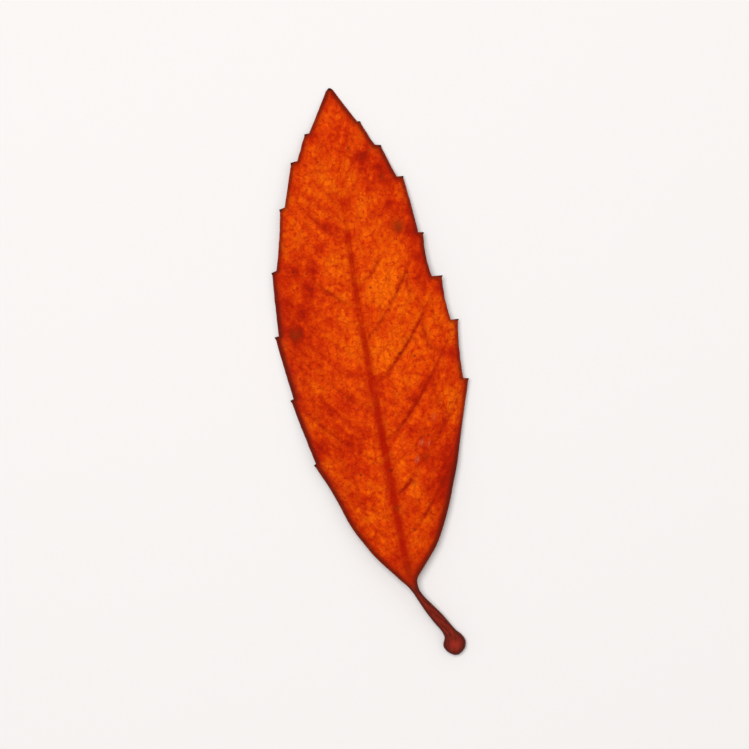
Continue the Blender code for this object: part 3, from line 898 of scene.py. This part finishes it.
def with_veins(n, skin, colour):
    """The colour with the nets, the side veins and the midrib's line on it."""
    colour = n.tint(colour, skin.net, 0.25, VEIN_RED)
    colour = n.tint(colour, skin.small_net, 0.14, VEIN_RED)
    colour = n.tint(colour, n.value("net"), 0.3, VEIN_RED)
    broken = n.math("MULTIPLY_ADD", n.step(skin.flecks, 0.36, 0.56), 0.35, 0.65)
    colour = n.tint(colour, n.value("vein"), broken, VEIN_RED)
    uneven_line = n.math("MULTIPLY_ADD", n.step(skin.mottle, 0.3, 0.6), 0.14, 0.84)
    return n.tint(colour, n.value("midrib"), uneven_line, MIDRIB_RED)


def with_specks(n, skin, colour):
    """The colour with small dark specks, a few larger brown spots, and pale specks of painted highlight.
    """
    size = n.add("ShaderNodeSeparateColor", n.cells(skin.flat, scale=0.42, out="Color"))
    far = n.math("MULTIPLY", size, 0.16)
    near = n.math("MULTIPLY", size, 0.06)
    speck = n.step(n.cells(skin.flat, scale=0.42), far, near)
    colour = n.tint(colour, speck, 0.6, SPECK_BROWN)
    fine = n.step(n.cells(skin.flat, scale=1.5), 0.18, 0.08)
    fine = n.math("MULTIPLY", fine, n.step(skin.mottle, 0.47, 0.6))
    colour = n.tint(colour, fine, 0.55, DEEP_RED)
    spot = n.math("MULTIPLY", n.value("spot"), n.math("MULTIPLY_ADD", skin.grain, 0.8, 0.6))
    colour = n.mix(n.math("MAXIMUM", spot, 0.0), colour, SPOT_BROWN)
    # Where the spots are negative, pale specks of painted highlight
    return n.mix(n.math("MAXIMUM", n.math("MULTIPLY", spot, -1.0), 0.0), colour, PAINTED_HIGHLIGHT_SPECK)


def under_colour(n, skin, upper):
    """The underside's paler tan, through which the upper side's mottling shows, with its ribs."""
    colour = n.mix(n.step(skin.mottle, 0.35, 0.7), UNDER_TAN, n.mix(0.45, upper, UNDER_TAN))
    colour = n.tint(colour, n.value("vein"), 0.6, UNDER_RIB)
    return n.tint(colour, n.value("midrib"), 0.75, UNDER_RIB)


def with_margin(n, skin, colour):
    """The colour with the margin's deep red band, its maroon line and the brown points of its teeth."""
    ragged = n.math("MULTIPLY", n.math("SUBTRACT", skin.mottle, 0.5), 0.35)
    edge = n.math("ADD", n.value("edge"), ragged)
    darkness = n.math("MULTIPLY_ADD", n.step(skin.mottle, 0.3, 0.65), 0.25, n.value("rim"))
    band = n.math("MULTIPLY_ADD", darkness, 0.55, 0.15)
    colour = n.tint(colour, n.step(edge, 1.8, 0.35), band, DEEP_RED)
    thick = n.math("MULTIPLY_ADD", darkness, 0.55, 0.4)
    strength = n.math("MULTIPLY_ADD", darkness, 0.36, 0.42, clamp=True)
    colour = n.tint(colour, n.step(edge, thick, 0.3), strength, MARGIN_MAROON)
    return n.mix(n.step(n.value("tooth"), 0.25, 0.8), colour, TIP_BROWN)


def stalk_colour(n, skin, stripes):
    """Striped maroon, darker at the sides and round the foot, whose middle is redder."""
    colour = n.mix(n.step(stripes, 0.36, 0.66), STALK_MAROON, STALK_DARK)
    colour = n.tint(colour, n.step(skin.grain, 0.5, 0.7), 0.4, STALK_DARK)
    ring = n.math("MULTIPLY", n.step(n.value("station"), *FOOT_RING), 0.6)
    colour = n.tint(colour, ring, n.math("SUBTRACT", 1.0, n.value("foot")), STALK_DARK)
    colour = n.tint(colour, n.value("foot"), n.math("MULTIPLY_ADD", skin.mottle, 0.5, 0.55), FOOT_RED)
    return n.tint(colour, n.step(n.value("edge"), 0.6, 0.2), 0.75, STALK_DARK)


def fine_relief(n, skin, fibres, stripes, is_bark):
    """The finest relief: nets and grain, turned over on the underside, and the stalk's stripes."""
    height = n.math("MULTIPLY", skin.net, -0.5)
    height = n.math("MULTIPLY_ADD", skin.small_net, -0.28, height)
    height = n.math("MULTIPLY_ADD", skin.grain, 0.35, height)
    height = n.math("MULTIPLY_ADD", n.noise(skin.flat, scale=7.0, detail=2.0), 0.22, height)
    height = n.math("MULTIPLY", height, n.math("MULTIPLY_ADD", n.value("below"), -2.0, 1.0))
    bark = n.math("MULTIPLY", stripes, 1.1)
    bark = n.math("MULTIPLY_ADD", n.noise(fibres, scale=9.0, detail=2.0), 0.4, bark)
    bark = n.math("MULTIPLY_ADD", skin.grain, 0.25, bark)
    bump = n.tree.nodes.new("ShaderNodeBump")
    bump.inputs["Strength"].default_value = RELIEF_STRENGTH
    bump.inputs["Distance"].default_value = RELIEF_HEIGHT
    n.feed(bump.inputs["Height"], n.mix(is_bark, height, bark))
    return bump.outputs[0]


def leaf_material():
    """The dry skin of the blade's two sides, of its margin and of the stalk."""
    n = Nodes("dry_leaf")
    skin = shared_skin(n)
    upper = with_specks(n, skin, with_veins(n, skin, upper_colour(n, skin)))
    blade = n.mix(n.value("below"), upper, under_colour(n, skin, upper))
    blade = with_margin(n, skin, blade)
    stretched = n.math("MULTIPLY", n.value("station"), STALK_STRETCH)
    fibres = n.add("ShaderNodeCombineXYZ", n.value("across"), stretched, 0.0)
    stripes = n.noise(fibres, scale=3.4, detail=3.0)
    is_bark = n.step(n.value("station"), *BARK_START)
    n.feed(n.shader.inputs["Base Color"], n.mix(is_bark, blade, stalk_colour(n, skin, stripes)))
    rough = n.math("MULTIPLY_ADD", skin.mottle, 0.22, 0.40)
    n.feed(n.shader.inputs["Roughness"], n.math("MULTIPLY_ADD", n.value("below"), 0.16, rough))
    n.shader.inputs["Specular IOR Level"].default_value = SPECULAR
    n.shader.inputs["Specular Tint"].default_value = SHEEN
    n.feed(n.shader.inputs["Normal"], fine_relief(n, skin, fibres, stripes, is_bark))
    return n.material


FLOOR_COLOUR = (0.80, 0.775, 0.765, 1)
FLOOR_ROUGHNESS = 0.8
FLOOR_SIZE = 3.0


def build_floor():
    """The plain pale floor that the leaf lies on."""
    half = FLOOR_SIZE / 2
    mesh = bpy.data.meshes.new("floor")
    corners = [(-half, -half, 0), (half, -half, 0), (half, half, 0), (-half, half, 0)]
    mesh.from_pydata(corners, [], [(0, 1, 2, 3)])
    floor = bpy.data.objects.new("floor", mesh)
    bpy.context.scene.collection.objects.link(floor)
    n = Nodes("pale_floor")
    n.shader.inputs["Base Color"].default_value = FLOOR_COLOUR
    n.shader.inputs["Roughness"].default_value = FLOOR_ROUGHNESS
    n.shader.inputs["Specular IOR Level"].default_value = SPECULAR
    mesh.materials.append(n.material)


# Lights: name, azimuth and elevation in degrees, distance, size, power
LIGHTS = [
    ("window", 124, 76, 0.9, 0.55, 6.6),
    ("fill", -35, 55, 1.0, 1.2, 1.6),
    ("back", 35, 50, 1.0, 1.0, 1.1),
]
WORLD_COLOUR = (1.0, 0.99, 0.98, 1)
WORLD_STRENGTH = 0.285


def build_lights():
    """Soft round lights that point at the leaf, and the even light of the room."""
    for name, azimuth, elevation, distance, size, power in LIGHTS:
        light = bpy.data.lights.new(name, "AREA")
        light.shape = "DISK"
        light.size = size
        light.energy = power
        lamp = bpy.data.objects.new(name, light)
        a, e = math.radians(azimuth), math.radians(elevation)
        towards = Vector((math.cos(a) * math.cos(e), math.sin(a) * math.cos(e), math.sin(e)))
        lamp.location = towards * distance
        lamp.rotation_euler = (-lamp.location).to_track_quat("-Z", "Y").to_euler()
        bpy.context.scene.collection.objects.link(lamp)
    world = bpy.data.worlds.new("studio")
    world.use_nodes = True
    background = world.node_tree.nodes["Background"]
    background.inputs[0].default_value = WORLD_COLOUR
    background.inputs[1].default_value = WORLD_STRENGTH
    bpy.context.scene.world = world
    bpy.context.scene.view_settings.view_transform = "Standard"


# Camera: straight above, turned so that the tip leans to the left as in the photo
LEAN_DEGREES = 9.78
CAMERA_HEIGHT = 0.42
FRAME_HEIGHT = 0.122  # height of the floor that the picture takes in
SENSOR = 36.0


def build_camera():
    """The camera, at the photo's viewing angle."""
    camera = bpy.data.cameras.new("camera")
    camera.sensor_width = SENSOR
    camera.lens = SENSOR * CAMERA_HEIGHT / FRAME_HEIGHT
    camera.clip_start, camera.clip_end = 0.01, 10.0
    view = bpy.data.objects.new("camera", camera)
    view.location = (0.0, 0.0, CAMERA_HEIGHT)
    view.rotation_euler = Euler((0.0, 0.0, -math.radians(LEAN_DEGREES)))
    bpy.context.scene.collection.objects.link(view)
    bpy.context.scene.camera = view


leaf = build_leaf()
leaf.data.materials.append(leaf_material())
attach(leaf, "root")
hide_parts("leaf")
build_floor()
build_lights()
build_camera()
